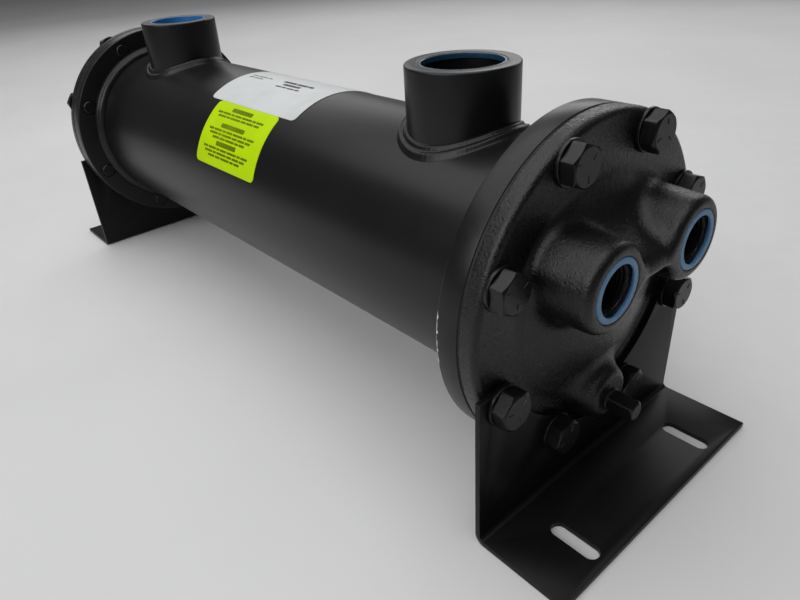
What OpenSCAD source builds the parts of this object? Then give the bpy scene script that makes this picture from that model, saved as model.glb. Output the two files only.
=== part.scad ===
// Two-pass shell-and-tube oil cooler.
// The shell axis runs along X, with the ported bonnet at +X and the oil ports facing +Z.
// The origin is on the mounting plane, midway between the two foot brackets.

/* [Shell] */
// Outside diameter of the shell tube (5 inch pipe)
shell_od = 141.3; // [136:0.1:146]
// Wall thickness of the shell tube
shell_wall = 3.4; // [2.5:0.1:5]
// Distance between the front faces of the two hub flanges
face_span = 518; // [460:2:640]
// Height of the shell axis above the mounting plane
axis_height = 117.5; // [112:0.5:140]

/* [Hub flanges] */
// Outside diameter of the hub flanges and the bonnets
flange_od = 184; // [180:1:196]
// Thickness of a hub flange
flange_t = 13.5; // [10:0.5:18]
// Leg of the fillet weld behind a hub flange
flange_weld_leg = 6.5; // [3:0.5:8]

/* [Bonnet bolts] */
// Number of bolts at each end
bolt_count = 8; // [8]
// Bolt circle diameter
bolt_circle = 164; // [162:1:166]
// Bolt shank diameter (1/2 inch)
bolt_d = 12.7; // [10:0.1:12.7]
// Hexagon size across the flats
bolt_af = 19.05; // [16:0.05:19.05]
// Thickness of a bolt head
bolt_head_t = 8; // [6:0.5:9]
// Outside diameter of a washer
washer_od = 22.4; // [20:0.2:23]
// Thickness of a washer
washer_t = 2; // [1:0.5:3]
// Length of thread that stands out behind the hub flange
bolt_overrun = 0.5; // [0:0.1:3]

/* [Oil ports] */
// Distance between the two oil ports
oil_port_span = 352; // [300:2:360]
// Outside diameter of an oil port
oil_port_od = 64; // [60:0.5:66]
// Height of an oil port's rim above the shell axis
oil_port_rim = 104; // [100:0.5:112]
// Tapping bore of an oil port (1-1/2 inch pipe thread)
oil_bore_d = 43.8; // [40:0.1:44]
// Bore of an oil port's mouth, where the thread protector sits
oil_mouth_d = 48.2; // [46:0.1:49]
// Depth of that mouth
oil_mouth_depth = 9; // [5:0.5:12]
// Width of the weld bead around an oil port
oil_weld_w = 6.8; // [4:0.2:8]
// Height of that bead above the shell
oil_weld_h = 3.4; // [2:0.2:5]

/* [Water ports] */
// Distance between the two water ports
water_port_span = 69.6; // [66:0.2:74]
// Height of the water ports above the shell axis
water_port_rise = 25; // [20:0.5:28]
// Distance of a water port's face from the hub flange face
water_port_reach = 44.3; // [40:0.1:50]
// Outside diameter of a water port boss at its root
water_boss_d = 48; // [46:0.5:50]
// Tapping bore of a water port (3/4 inch pipe thread)
water_bore_d = 23.4; // [20:0.1:23.8]
// Diameter of the seat of the thread protector in a water port
water_mouth_d = 32.2; // [30:0.1:33]
// Depth of that seat
water_mouth_depth = 3; // [2:0.5:4]

/* [Bonnets] */
// Thickness of a bonnet's bolting flange
bonnet_flange_t = 10; // [9:0.5:12]
// Radius of the rounded rim of a bonnet
bonnet_rim_r = 3.5; // [2:0.5:5]
// Radius of the dome where it meets the bolting flange
dome_r = 57; // [54:0.5:58]
// Height of the dome's crown above the hub flange face
dome_crown = 27.6; // [25:0.1:30]
// Wall thickness of a bonnet's dome
bonnet_wall = 6; // [5:0.5:7]
// Radius of the water space in a bonnet
cavity_r = 60; // [58:0.5:61]
// Thickness of the partition rib between the two passes
partition_t = 6; // [4:0.5:7]

/* [Drain] */
// Distance of the drain plug below the shell axis
drain_drop = 65.2; // [64:0.2:66]
// Distance of the drain boss's face from the hub flange face
drain_reach = 27.6; // [26:0.2:30]
// Diameter of the drain boss at its face
drain_boss_d = 28; // [24:0.5:30]
// Thread diameter of the drain plug (1/4 inch pipe thread)
drain_thread_d = 13.2; // [11:0.1:14]
// Size of the drain plug's square head across the flats
drain_af = 9.5; // [8:0.1:11]
// Length of the drain plug's head
drain_head_t = 15.5; // [10:0.5:16]
// Distance of the drain plug's end from the hub flange face
drain_plug_reach = 44; // [40:0.5:46]

/* [Tube bundle] */
// Outside diameter of a tube (1/2 inch)
tube_d = 12.7; // [10:0.1:13]
// Wall thickness of a tube
tube_wall = 0.9; // [0.6:0.1:1.5]
// Spacing of the tubes in a column
tube_pitch = 17; // [17:0.5:18]
// Distance of the first column of tubes from the centre plane
tube_lane = 10.5; // [10.5:0.1:11]
// Thickness of a tube sheet
tube_sheet_t = 12; // [8:1:16]
// Number of baffles
baffle_count = 7; // [3:2:9]
// Spacing of the baffles
baffle_pitch = 44; // [30:1:44]
// Thickness of a baffle
baffle_t = 3; // [2:0.5:4]
// Height of a baffle's straight cut edge above or below the axis
baffle_cut = 36; // [33:1:42]
// Diameter of a tie rod
tie_rod_d = 6; // [5:0.5:6]

/* [Brackets] */
// Width of a foot bracket
bracket_w = 184; // [180:1:200]
// Thickness of the bracket sheet
bracket_t = 3; // [2.5:0.5:4]
// Distance of the bracket's top edge below the shell axis
bracket_drop = 23.3; // [18:0.1:25]
// Distance of the foot's free edge from the hub flange face
foot_reach = 69; // [67:0.5:80]
// Diameter of the cut-out that clears the bonnet's dome
bracket_cutout_d = 145.4; // [140:0.2:147]
// Inside radius of the bracket's bend
bend_r = 3; // [2:0.5:5]
// Width of a foot slot
slot_w = 9.5; // [8:0.5:11]
// End-to-end length of a foot slot
slot_len = 29; // [20:0.5:30]
// Distance of a slot's centre from the hub flange face
slot_reach = 49.5; // [48:0.5:52]
// Distance between the two slots of a foot
slot_span = 113; // [100:1:140]

/* [Labels] */
// Length of the data label along the shell
data_label_len = 115; // [90:1:130]
// Length of the caution label along the shell
caution_label_len = 84; // [70:1:100]
// Thickness of a label
label_t = 0.3; // [0.2:0.05:0.5]

/* [Hidden] */

BLACK = "#1d1e20";
CAST_BLACK = "#242526";
BOLT_BLACK = "#2c2d2f";
FACETS = 96;

slack = 0.1;
shell_r = shell_od / 2;
shell_id = shell_od - 2 * shell_wall;
joint_x = face_span / 2;
gasket_t = 1.5;
bonnet_lip_x = gasket_t + 4;
seat_x = gasket_t + bonnet_flange_t;
sphere_r = (pow(dome_r, 2) + pow(dome_crown - seat_x, 2)) / (2 * (dome_crown - seat_x));
bolt_hole_d = bolt_d + 1.1;
baffle_d = shell_id - 0.6;
baffle_x0 = -(baffle_count - 1) / 2 * baffle_pitch;
column_pitch = tube_pitch * sqrt(3) / 2;
bundle_r = shell_id / 2 - tube_d / 2 - 3;
column_count = 4;
tie_rod_spots = [[61.5, 0], [-61.5, 0], [0, 1.5 * tube_pitch], [0, -1.5 * tube_pitch]];
spacer_d = 9;
nut_af = 10;
nut_t = 5;
DOME_STEPS = 8;
bolt_step = 360 / bolt_count;
// Bolts above the brackets' top edge, then the bolts that also hold a bracket
bonnet_bolts = [0 : bolt_count / 2 - 1];
bracket_bolts = [bolt_count / 2 : bolt_count - 1];
all_bolts = [0 : bolt_count - 1];
bolt_angle0 = bolt_step / 2;
oil_tapping = 22;
oil_passage_d = oil_bore_d - 2;
water_tapping = 22;
water_passage_d = water_bore_d - 2;
drain_boss_drop = drain_drop - 3;
drain_notch_d = 1.5 * drain_boss_d + 2;
water_boss_face_d = water_boss_d - 3.4;
water_boss_edge = 4.6;
water_ring_d = 25.6;
oil_ring_d = 45.2;
data_label_top = 61;
label_seam = 122.2;
caution_label_bottom = 162.4;

// Places the children on the front hub flange's face, with X pointing out of the cooler
module at_front() { translate([joint_x, 0, axis_height]) children(); }

// The same for the rear end, as the mirror image of the front
module at_rear() { mirror([1, 0, 0]) at_front() children(); }

// Turns a solid of revolution from the Z axis to the X axis
module along_x() { rotate([0, 90, 0]) children(); }

// Rod or disc on the X axis, from x0 to x1
module rod_x(d, x0, x1) { translate([x0, 0, 0]) along_x() cylinder(d = d, h = x1 - x0, $fn = FACETS); }

// Ring on the X axis, from x0 to x1
module ring_x(od, id, x0, x1) {
    difference() {
        rod_x(od, x0, x1);
        rod_x(id, x0 - 1, x1 + 1);
    }
}

// Places the children on bolt number i of the bolt circle
module at_bolt(i) {
    a = bolt_angle0 + i * bolt_step;
    translate([0, bolt_circle / 2 * cos(a), bolt_circle / 2 * sin(a)]) children();
}

// Point on a dome's arc of radius r, at angle a from the X axis, as [distance from the axis, x]
function dome_point(r, a) = [r * sin(a), dome_crown - sphere_r + r * cos(a)];

module bolt_holes(d, x0, x1) { for (i = all_bolts) at_bolt(i) rod_x(d, x0, x1); }

// Centres of one pass's tubes, as [distance from the centre plane, height]
function column_y(c) = tube_lane + c * column_pitch;
function column_z(c, k) = (k + (c % 2) / 2) * tube_pitch;
tube_spots = [for (c = [0 : column_count - 1], k = [-4 : 3 + (c + 1) % 2])
    if (norm([column_y(c), column_z(c, k)]) <= bundle_r) [column_y(c), column_z(c, k)]];

// Places the children on every tube of one pass; side is -1 for left or 1 for right
module at_tubes(side) {
    for (p = tube_spots) translate([0, side * p[0], axis_height + p[1]]) children();
}

module tube_holes(d, x0, x1) { for (side = [-1, 1]) at_tubes(side) rod_x(d, x0, x1); }

module at_tie_rods() { for (p = tie_rod_spots) translate([0, p[0], axis_height + p[1]]) children(); }

// Places the children on an oil port's axis, at the shell's axis; side is 1 for front or -1 for rear
module at_oil_port(side) { translate([side * oil_port_span / 2, 0, axis_height]) children(); }

// Shell, flanges and oil ports
module shell_tube() {
    color(BLACK) difference() {
        translate([0, 0, axis_height]) ring_x(shell_od, shell_id, -joint_x, joint_x);
        for (side = [-1, 1]) at_oil_port(side) cylinder(d = oil_passage_d, h = shell_od, $fn = FACETS);
    }
}

module hub_flange() {
    color(BLACK) difference() {
        ring_x(flange_od, shell_od + slack, -flange_t, 0);
        bolt_holes(bolt_d + slack, -flange_t - 1, 1);
    }
}

module flange_weld() {
    color(BLACK) difference() {
        translate([-flange_t, 0, 0]) along_x() rotate_extrude($fn = FACETS)
            polygon([for (p = [[0, 0], [0, -1], [0.28, -0.72], [0.72, -0.28], [1, 0]])
                [shell_r + flange_weld_leg * p[0], flange_weld_leg * p[1]]]);
        bolt_holes(bolt_d + slack, -flange_t - bolt_overrun - 1, 1 - flange_t);
    }
}

module oil_port(side) {
    color(BLACK) at_oil_port(side) difference() {
        cylinder(d = oil_port_od, h = oil_port_rim, $fn = FACETS);
        rod_x(shell_od, -oil_port_od, oil_port_od);
        cylinder(d = oil_passage_d, h = oil_port_rim + 1, $fn = FACETS);
        translate([0, 0, oil_port_rim - oil_mouth_depth - oil_tapping])
            cylinder(d = oil_bore_d, h = oil_tapping + 1, $fn = FACETS);
        translate([0, 0, oil_port_rim - oil_mouth_depth])
            cylinder(d = oil_mouth_d, h = oil_mouth_depth + 1, $fn = FACETS);
    }
}

module oil_port_weld(side) {
    color(BLACK) at_oil_port(side) difference() {
        intersection() {
            cylinder(d = oil_port_od + 2 * oil_weld_w, h = oil_port_rim, $fn = FACETS);
            rod_x(shell_od + 2 * oil_weld_h, -oil_port_od, oil_port_od);
        }
        rod_x(shell_od, -oil_port_od - 1, oil_port_od + 1);
        translate([0, 0, -1]) cylinder(d = oil_port_od, h = oil_port_rim + 2, $fn = FACETS);
    }
}

module oil_thread_protector(side) {
    color("#4f86bd") at_oil_port(side) translate([0, 0, oil_port_rim - oil_mouth_depth]) difference() {
        cylinder(d = oil_mouth_d - slack, h = oil_mouth_depth, $fn = FACETS);
        translate([0, 0, -1]) cylinder(d = oil_ring_d, h = oil_mouth_depth + 2, $fn = FACETS);
    }
}

// Tube bundle
module tube_sheet(side) {
    x = side * joint_x;
    color("#8a7440") difference() {
        translate([0, 0, axis_height])
            rod_x(shell_id - 2 * slack, min(x, x - side * tube_sheet_t), max(x, x - side * tube_sheet_t));
        tube_holes(tube_d + slack, -joint_x - 1, joint_x + 1);
        if (side > 0) at_tie_rods() rod_x(tie_rod_d + slack, 0, joint_x - tube_sheet_t / 2);
    }
}

module pass_tubes(side) {
    color("#b06a3c") at_tubes(side)
        ring_x(tube_d, tube_d - 2 * tube_wall, -joint_x - 1, joint_x + 1);
}

module baffle(i) {
    cut_side = i % 2 == 0 ? 1 : -1;
    x = baffle_x0 + i * baffle_pitch;
    difference() {
        translate([0, 0, axis_height]) rod_x(baffle_d, x - baffle_t / 2, x + baffle_t / 2);
        tube_holes(tube_d + 4 * slack, x - baffle_t, x + baffle_t);
        at_tie_rods() rod_x(tie_rod_d + slack, x - baffle_t, x + baffle_t);
        translate([x - baffle_t, -shell_od, axis_height + cut_side * (baffle_cut + shell_od) - shell_od])
            cube([2 * baffle_t, 2 * shell_od, 2 * shell_od]);
    }
}

module baffles() { color("#9a9a94") for (i = [0 : baffle_count - 1]) baffle(i); }

module tie_rods() {
    color("#9a9a94") at_tie_rods()
        rod_x(tie_rod_d, baffle_x0 - baffle_t / 2 - nut_t - 2, joint_x - tube_sheet_t / 2 - slack);
}

module baffle_spacers() {
    color("#86867f") at_tie_rods() for (i = [0 : baffle_count - 2])
        ring_x(spacer_d, tie_rod_d + 2 * slack, baffle_x0 + i * baffle_pitch + baffle_t / 2,
            baffle_x0 + (i + 1) * baffle_pitch - baffle_t / 2);
}

module tie_rod_nuts() {
    x = baffle_x0 - baffle_t / 2;
    color("#b0b0aa") at_tie_rods() difference() {
        translate([x - nut_t, 0, 0]) along_x() cylinder(d = nut_af / cos(30), h = nut_t, $fn = 6);
        rod_x(tie_rod_d + slack, x - nut_t - 1, x + 1);
    }
}

// Gaskets and bonnets
module gasket(has_rib) {
    color("#3b3a36") difference() {
        rod_x(flange_od - 1, 0, gasket_t);
        difference() {
            rod_x(2 * cavity_r + 8, -1, gasket_t + 1);
            if (has_rib) translate([-2, -partition_t / 2, -shell_r])
                cube([bonnet_lip_x, partition_t, shell_od]);
        }
        bolt_holes(bolt_hole_d, -1, gasket_t + 1);
    }
}

// Outer surface of a bonnet: a bolting flange with a rounded rim, eased into a shallow dome
module bonnet_body() {
    rim = flange_od / 2 - bonnet_rim_r;
    edge_a = asin((dome_r - 2) / sphere_r);
    along_x() rotate_extrude($fn = FACETS) polygon(concat(
        [[0, gasket_t], [flange_od / 2, gasket_t]],
        [for (a = [0 : 15 : 90]) [rim, seat_x - bonnet_rim_r] + bonnet_rim_r * [cos(a), sin(a)]],
        [[dome_r + 7, seat_x], [dome_r + 2, seat_x + 0.6]],
        [for (i = [DOME_STEPS : -1 : 0]) dome_point(sphere_r, edge_a * i / DOME_STEPS)]));
}

// Space inside a bonnet, split by the partition rib if there is one
module cavity(has_rib) {
    inner_r = sphere_r - bonnet_wall;
    edge_a = acos((bonnet_lip_x - dome_crown + sphere_r) / inner_r);
    difference() {
        along_x() rotate_extrude($fn = FACETS) polygon(concat(
            [[0, -1], [cavity_r, -1], [cavity_r, bonnet_lip_x]],
            [for (i = [DOME_STEPS : -1 : 0]) dome_point(inner_r, edge_a * i / DOME_STEPS)]));
        if (has_rib) translate([-2, -partition_t / 2, -cavity_r - 1])
            cube([dome_crown, partition_t, 2 * cavity_r + 2]);
    }
}

// Water port boss, tapered towards its face, with a rounded front edge
module port_boss() {
    middle = [water_boss_face_d / 2 - water_boss_edge, water_port_reach - water_boss_edge];
    along_x() rotate_extrude($fn = FACETS) polygon(concat(
        [[0, bonnet_lip_x], [water_boss_d / 2, bonnet_lip_x], [water_boss_d / 2, seat_x]],
        [for (a = [0 : 15 : 90]) middle + water_boss_edge * [cos(a), sin(a)]], [[0, water_port_reach]]));
}

module at_water_ports() {
    for (side = [-1, 1]) translate([0, side * water_port_span / 2, water_port_rise]) children();
}

// Upright slab between the planes y = -w / 2 and y = w / 2, with its outline given as [x, z] points
module slab(w, outline) { translate([0, w / 2, 0]) rotate([90, 0, 0]) linear_extrude(w) polygon(outline); }

// Web that joins the two water port bosses, nearly flush with their faces and sloping on to the dome above
module port_web() {
    face_x = water_port_reach - 0.6;
    slab(water_port_span, [[seat_x, 19.5], [face_x - 2.4, 19.5], [face_x, 21.5], [face_x, 26.5],
        [face_x - 2.4, 29], [dome_crown - 1, 37], [seat_x, 37]]);
}

module drain_boss() {
    reach = drain_reach - seat_x + 1;
    translate([seat_x - 1, 0, -drain_boss_drop]) along_x()
        cylinder(d1 = 1.5 * drain_boss_d, d2 = drain_boss_d, h = reach, $fn = FACETS);
}

// Passage, tapped length and mouth of one water port
module water_port_bore() {
    mouth_x = water_port_reach - water_mouth_depth;
    rod_x(water_passage_d, gasket_t + 6, water_port_reach);
    rod_x(water_bore_d, mouth_x - water_tapping, water_port_reach);
    rod_x(water_mouth_d, mouth_x, water_port_reach + 1);
}

module front_bonnet() {
    color(CAST_BLACK) at_front() difference() {
        union() {
            bonnet_body();
            at_water_ports() port_boss();
            port_web();
            drain_boss();
        }
        cavity(true);
        at_water_ports() water_port_bore();
        translate([0, 0, -drain_drop]) rod_x(drain_thread_d, gasket_t + 2.5, drain_reach + 1);
        bolt_holes(bolt_hole_d, 0, seat_x + 1);
    }
}

module rear_bonnet() {
    color(CAST_BLACK) at_rear() difference() {
        bonnet_body();
        cavity(false);
        bolt_holes(bolt_hole_d, 0, seat_x + 1);
    }
}

module water_thread_protector(side) {
    color("#6f9cc9") at_front() translate([0, side * water_port_span / 2, water_port_rise])
        ring_x(water_mouth_d - slack, water_ring_d, water_port_reach - water_mouth_depth, water_port_reach);
}

module drain_plug() {
    head_x = drain_plug_reach - drain_head_t;
    color(BOLT_BLACK) at_front() translate([0, 0, -drain_drop]) union() {
        rod_x(drain_thread_d - slack, bonnet_lip_x + 2, head_x);
        translate([head_x - 1, -drain_af / 2, -drain_af / 2]) cube([drain_head_t + 1, drain_af, drain_af]);
    }
}

// Foot bracket: a plate against the bonnet's flange, bent outwards into a slotted foot
module bracket() {
    outer_r = bend_r + bracket_t;
    back = seat_x;
    face = seat_x + bracket_t;
    bend = [back + outer_r, outer_r - axis_height];
    color(BLACK) difference() {
        translate([0, bracket_w / 2, 0]) rotate([90, 0, 0]) linear_extrude(bracket_w) polygon(concat(
            [[face, -bracket_drop], [back, -bracket_drop]],
            [for (a = [180 : 15 : 270]) bend + outer_r * [cos(a), sin(a)]],
            [[foot_reach, -axis_height], [foot_reach, bracket_t - axis_height]],
            [for (a = [270 : -15 : 180]) bend + bend_r * [cos(a), sin(a)]]));
        rod_x(bracket_cutout_d, 0, foot_reach);
        translate([0, 0, -drain_boss_drop]) rod_x(drain_notch_d, 0, foot_reach);
        for (i = bracket_bolts) at_bolt(i) rod_x(bolt_hole_d, 0, foot_reach);
        for (side = [-1, 1]) translate([slot_reach, side * slot_span / 2, -axis_height - 1]) foot_slot();
    }
}

module foot_slot() {
    run = slot_len - slot_w;
    translate([-run / 2, -slot_w / 2, 0]) cube([run, slot_w, bracket_t + 2]);
    for (end = [-run, run] / 2) translate([end, 0, 0])
        cylinder(d = slot_w, h = bracket_t + 2, $fn = FACETS);
}

// Hex bolt whose head sits on a washer on a plate of thickness extra
module hex_bolt(extra) {
    head_x = seat_x + extra + washer_t;
    translate([head_x, 0, 0]) along_x() rotate([0, 0, 15])
        cylinder(d = bolt_af / cos(30), h = bolt_head_t, $fn = 6);
    rod_x(bolt_d, -flange_t - bolt_overrun, head_x + 1);
}

module bonnet_bolt_set() { color(BOLT_BLACK) for (i = bonnet_bolts) at_bolt(i) hex_bolt(0); }

module bracket_bolt_set() { color(BOLT_BLACK) for (i = bracket_bolts) at_bolt(i) hex_bolt(bracket_t); }

module washer_set() {
    color(BOLT_BLACK) {
        for (i = bonnet_bolts) at_bolt(i) ring_x(washer_od, bolt_d + 4 * slack, seat_x, seat_x + washer_t);
        for (i = bracket_bolts) at_bolt(i)
            ring_x(washer_od, bolt_d + 4 * slack, seat_x + bracket_t, seat_x + bracket_t + washer_t);
    }
}

// Label wrapped on the shell between two angles, measured from +Y towards the top
module label(len, from, to) {
    translate([-len / 2, 0, axis_height]) along_x() rotate([0, 0, from + 90])
        rotate_extrude(angle = to - from, $fn = FACETS) translate([shell_r, 0]) square([label_t, len]);
}

module data_label() { color("white") label(data_label_len, data_label_top, label_seam); }

module caution_label() { color("#c8f000") label(caution_label_len, label_seam, caution_label_bottom); }

shell_tube();
at_front() hub_flange();  // front_hub_flange
at_rear() hub_flange();  // rear_hub_flange
at_front() flange_weld();  // front_flange_weld
at_rear() flange_weld();  // rear_flange_weld
oil_port(1);  // front_oil_port
oil_port(-1);  // rear_oil_port
oil_port_weld(1);  // front_oil_port_weld
oil_port_weld(-1);  // rear_oil_port_weld
oil_thread_protector(1);  // front_oil_thread_protector
oil_thread_protector(-1);  // rear_oil_thread_protector
tube_sheet(1);  // front_tube_sheet
tube_sheet(-1);  // rear_tube_sheet
pass_tubes(-1);  // left_pass_tubes
pass_tubes(1);  // right_pass_tubes
baffles();
tie_rods();
baffle_spacers();
tie_rod_nuts();
at_front() gasket(true);  // front_gasket
at_rear() gasket(false);  // rear_gasket
front_bonnet();
rear_bonnet();
water_thread_protector(-1);  // left_water_thread_protector
water_thread_protector(1);  // right_water_thread_protector
drain_plug();
at_front() bracket();  // front_bracket
at_rear() bracket();  // rear_bracket
at_front() bonnet_bolt_set();  // front_bonnet_bolts
at_rear() bonnet_bolt_set();  // rear_bonnet_bolts
at_front() bracket_bolt_set();  // front_bracket_bolts
at_rear() bracket_bolt_set();  // rear_bracket_bolts
at_front() washer_set();  // front_bolt_washers
at_rear() washer_set();  // rear_bolt_washers
data_label();
caution_label();
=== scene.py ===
import math

import bmesh
import bpy
import numpy as np
from mathutils import Matrix, Vector


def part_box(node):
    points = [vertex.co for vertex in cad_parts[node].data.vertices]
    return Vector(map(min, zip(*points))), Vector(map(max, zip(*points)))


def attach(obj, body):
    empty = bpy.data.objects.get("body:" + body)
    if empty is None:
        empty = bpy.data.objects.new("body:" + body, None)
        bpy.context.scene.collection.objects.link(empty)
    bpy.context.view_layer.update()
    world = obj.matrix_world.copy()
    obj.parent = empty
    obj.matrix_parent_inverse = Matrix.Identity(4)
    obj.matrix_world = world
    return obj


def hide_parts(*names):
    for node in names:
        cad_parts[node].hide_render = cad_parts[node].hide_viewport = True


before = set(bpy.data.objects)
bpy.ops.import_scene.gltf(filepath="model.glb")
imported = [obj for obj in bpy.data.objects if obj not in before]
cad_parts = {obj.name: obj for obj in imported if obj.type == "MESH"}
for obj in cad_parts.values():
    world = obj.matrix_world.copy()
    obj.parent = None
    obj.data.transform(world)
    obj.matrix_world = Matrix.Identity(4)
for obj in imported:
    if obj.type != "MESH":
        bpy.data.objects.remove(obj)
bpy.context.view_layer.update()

# Lengths are in millimetres until a piece is made, in a frame whose X runs along the cooler.
MM = 0.001
BODY = "root"


def box_mm(node):
    low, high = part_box(node)
    return low / MM, high / MM


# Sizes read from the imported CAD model. An end's own X starts at JOINT_X, its hub flange's face. BACK, SEAT
# (where the washers lie), CROWN and PORT_FACE are levels along it.
shell_low, shell_high = box_mm("shell_tube")
JOINT_X = shell_high.x
SHELL_R = (shell_high.y - shell_low.y) / 2
AXIS_Z = (shell_low.z + shell_high.z) / 2
hub_low, hub_high = box_mm("front_hub_flange")
FLANGE_R = (hub_high.y - hub_low.y) / 2
HUB_T = hub_high.x - hub_low.x
bonnet_low, bonnet_high = box_mm("front_bonnet")
BACK = bonnet_low.x - JOINT_X
PORT_FACE = bonnet_high.x - JOINT_X
CROWN = -box_mm("rear_bonnet")[0].x - JOINT_X
SEAT = box_mm("front_bolt_washers")[0].x - JOINT_X
bracket_low, bracket_high = box_mm("front_bracket")
ring_low, ring_high = box_mm("right_water_thread_protector")
WATER_Y = (ring_low.y + ring_high.y) / 2
WATER_Z = (ring_low.z + ring_high.z) / 2 - AXIS_Z
WATER_MOUTH_R = (ring_high.y - ring_low.y) / 2
port_low, port_high = box_mm("front_oil_port")
OIL_X = (port_low.x + port_high.x) / 2
OIL_R = (port_high.x - port_low.x) / 2
OIL_RIM = port_high.z - AXIS_Z
sleeve_low, sleeve_high = box_mm("front_oil_thread_protector")
OIL_MOUTH_R = (sleeve_high.x - sleeve_low.x) / 2
OIL_MOUTH_DEPTH = sleeve_high.z - sleeve_low.z
plug_low, plug_high = box_mm("drain_plug")
PLUG_R = (plug_high.y - plug_low.y) / 2
DRAIN_Z = (plug_low.z + plug_high.z) / 2 - AXIS_Z
PLUG_END = plug_high.x - JOINT_X

# Sizes that the CAD model shares but no box gives; the labels' edges are angles round the shell in degrees
DOME_R = 57.0
BONNET_WALL = 6.0
RIM_EDGE = 3.5
CAVITY_R = 60.0
RIB_T = 6.0
BOSS_R = 24.0
WATER_BORE_R = 11.7
WATER_MOUTH_DEPTH = 3.0
DRAIN_FACE = 27.6
PLUG_AF = 9.5
DRAIN_BOSS_Z = DRAIN_Z + 3.0
BOLT_R = 6.35
BOLT_HOLE_R = 6.9
BOLT_AF = 19.05
BOLT_HEAD_T = 8.0
WASHER_T = 2.0
WASHER_R = 11.2
BOLT_CIRCLE_R = 82.0
BOLT_COUNT = 8
PLATE_T = 3.0
BEND_R = 3.0
PLATE_TOP = -23.3
CUTOUT_R = 72.7
NOTCH_R = 22.0
SLOT_X = 49.5
SLOT_Y = 56.5
SLOT_LEN = 29.0
SLOT_W = 9.5
SHELL_WALL = 3.4
OIL_PASSAGE_R = 20.9
OIL_BORE_R = 21.9
OIL_TAPPING = 22.0
OIL_SLEEVE_R = 22.6
LABEL_T = 0.3
DATA_LABEL_EDGE = 61.0
LABEL_SEAM = 122.2
CAUTION_LABEL_EDGE = 162.4
LABEL_CORNER = 4.0

# Sizes of details that the CAD model has in a plainer form
WATER_RING_R = 12.8
FRONT_SLEEVE_DEPTH = 3.0
OIL_WELD_W = 5.8
OIL_WELD_H = 3.4
HUB_WELD_LEG = 6.6
BOLT_OVERRUN = 0.5
FACE_R_SHARE = 0.47
HOLE_PLAY = 0.05
WATER_THREAD_PITCH = 1.81
WATER_THREAD_DEPTH = 0.95
OIL_THREAD_PITCH = 2.21
OIL_THREAD_DEPTH = 1.15


# ---------------------------------------------------------------- materials
class Nodes:
    """Adds shader nodes to one new material and links them."""

    def __init__(self, name):
        self.material = bpy.data.materials.new(name)
        self.material.use_nodes = True
        self.tree = self.material.node_tree
        self.tree.nodes.clear()
        output = self.tree.nodes.new("ShaderNodeOutputMaterial")
        self.shader = self.tree.nodes.new("ShaderNodeBsdfPrincipled")
        self.tree.links.new(self.shader.outputs[0], output.inputs["Surface"])
        self.coords = self.add("TexCoord").outputs["Object"]

    def add(self, kind, settings=None, inputs=None):
        made = self.tree.nodes.new("ShaderNode" + kind)
        for key, value in (settings or {}).items():
            setattr(made, key, value)
        for key, value in (inputs or {}).items():
            self.put(made.inputs[key], value)
        return made

    def put(self, socket, value):
        if isinstance(value, bpy.types.NodeSocket):
            self.tree.links.new(value, socket)
        else:
            socket.default_value = value

    def noise(self, scale, detail=3.0, roughness=0.5):
        made = self.add("TexNoise", inputs={"Vector": self.coords, "Scale": scale, "Detail": detail,
                                            "Roughness": roughness})
        return made.outputs["Fac"]

    def ramp(self, value, low, high, out_low=0.0, out_high=1.0):
        """Smooth step of value from low to high, on to out_low to out_high."""
        made = self.add("MapRange", {"interpolation_type": "SMOOTHSTEP"},
                        {"Value": value, "From Min": low, "From Max": high,
                         "To Min": out_low, "To Max": out_high})
        return made.outputs["Result"]

    def math(self, operation, a, b):
        made = self.add("Math", {"operation": operation})
        self.put(made.inputs[0], a)
        self.put(made.inputs[1], b)
        return made.outputs[0]

    def mix(self, factor, a, b):
        made = self.add("Mix", {"data_type": "RGBA"})
        self.put(made.inputs["Factor"], factor)
        self.put(made.inputs[6], a)
        self.put(made.inputs[7], b)
        return made.outputs[2]

    def bump(self, height, distance, strength=1.0, normal=None):
        made = self.add("Bump", inputs={"Height": height, "Distance": distance, "Strength": strength})
        if normal is not None:
            self.put(made.inputs["Normal"], normal)
        return made.outputs["Normal"]

    def set(self, **values):
        for key, value in values.items():
            self.put(self.shader.inputs[key.replace("_", " ")], value)


# Share of an upward face that dust covers
DUST_COVER = 0.01
# Strength of the bright edges on bare metal
METAL_WEAR = 0.35


def grey(value, warm=0.0):
    return (value * (1 + warm), value, value * (1 - warm), 1.0)


def edge_mask(n, reach=0.0009, breakup=180.0):
    """Narrow band beside sharp edges, broken up by noise; reach is the band's width in metres."""
    rounded = n.add("Bevel", {"samples": 6}, {"Radius": reach}).outputs["Normal"]
    straight = n.add("NewGeometry").outputs["Normal"]
    agreement = n.add("VectorMath", {"operation": "DOT_PRODUCT"}, {0: rounded, 1: straight}).outputs["Value"]
    return n.math("MULTIPLY", n.ramp(agreement, 0.97, 0.80), n.ramp(n.noise(breakup, 4.0), 0.42, 0.62))


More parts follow.
